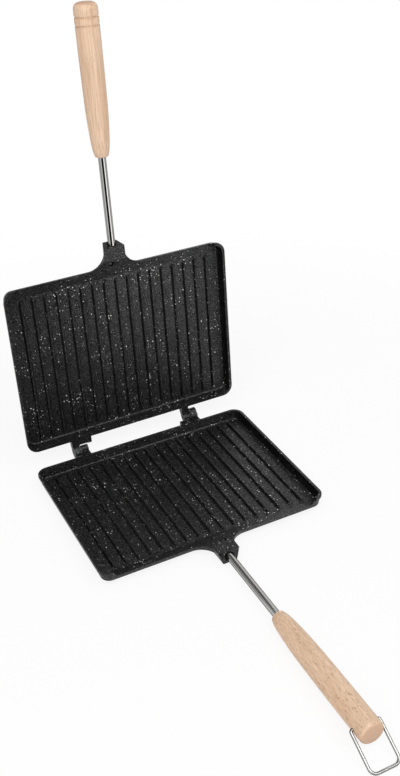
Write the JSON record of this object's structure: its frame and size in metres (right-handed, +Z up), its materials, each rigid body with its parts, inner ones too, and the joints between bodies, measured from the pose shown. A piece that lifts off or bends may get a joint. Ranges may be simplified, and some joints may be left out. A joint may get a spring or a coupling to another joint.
{
  "type": "pie iron",
  "caption": "Hinged cast pie iron: ribbed trays that shut on each other, long steel rods with turned wooden grips, and a wire bail that holds the grips together.",
  "frame": {"origin": "centre of the flat underside of the lower plate, which lies in the plane Z = 0", "axes": "+Z up through the lower plate, the handles run towards -Y, the hinge axis is parallel to X behind the rear rim, right side +X"},
  "size_m": [0.25, 0.5425, 0.492],
  "materials": {
    "coated_casting": "cast aluminium under a charcoal non-stick coating with fine pale flecks",
    "pin_steel": "plain steel, dulled",
    "bright_rod": "bright plated steel bar",
    "beech": "turned beech, sanded, with a thin clear lacquer",
    "bail_wire": "bright plated steel wire"
  },
  "bodies": {
    "lower": {"lower_plate": "coated_casting", "lower_rod": "bright_rod", "lower_rod_pin": "pin_steel", "lower_handle": "beech", "left_hinge_pin": "pin_steel", "right_hinge_pin": "pin_steel"},
    "upper": {"upper_plate": "coated_casting", "upper_rod": "bright_rod", "upper_rod_pin": "pin_steel", "upper_handle": "beech"},
    "bail": {"handle_bail": "bail_wire"}
  },
  "joints": [
    {"name": "plate_hinge", "type": "hinge", "parent": "lower", "child": "upper", "pos_m": [0, 0.1066, 0.0135], "axis": [1, 0, 0], "range_deg": [-86, 94]},
    {"name": "bail_pivot", "type": "hinge", "parent": "lower", "child": "bail", "pos_m": [0, -0.34632, 0.0015], "axis": [1, 0, 0], "range_deg": [-124, 128]}
  ]
}
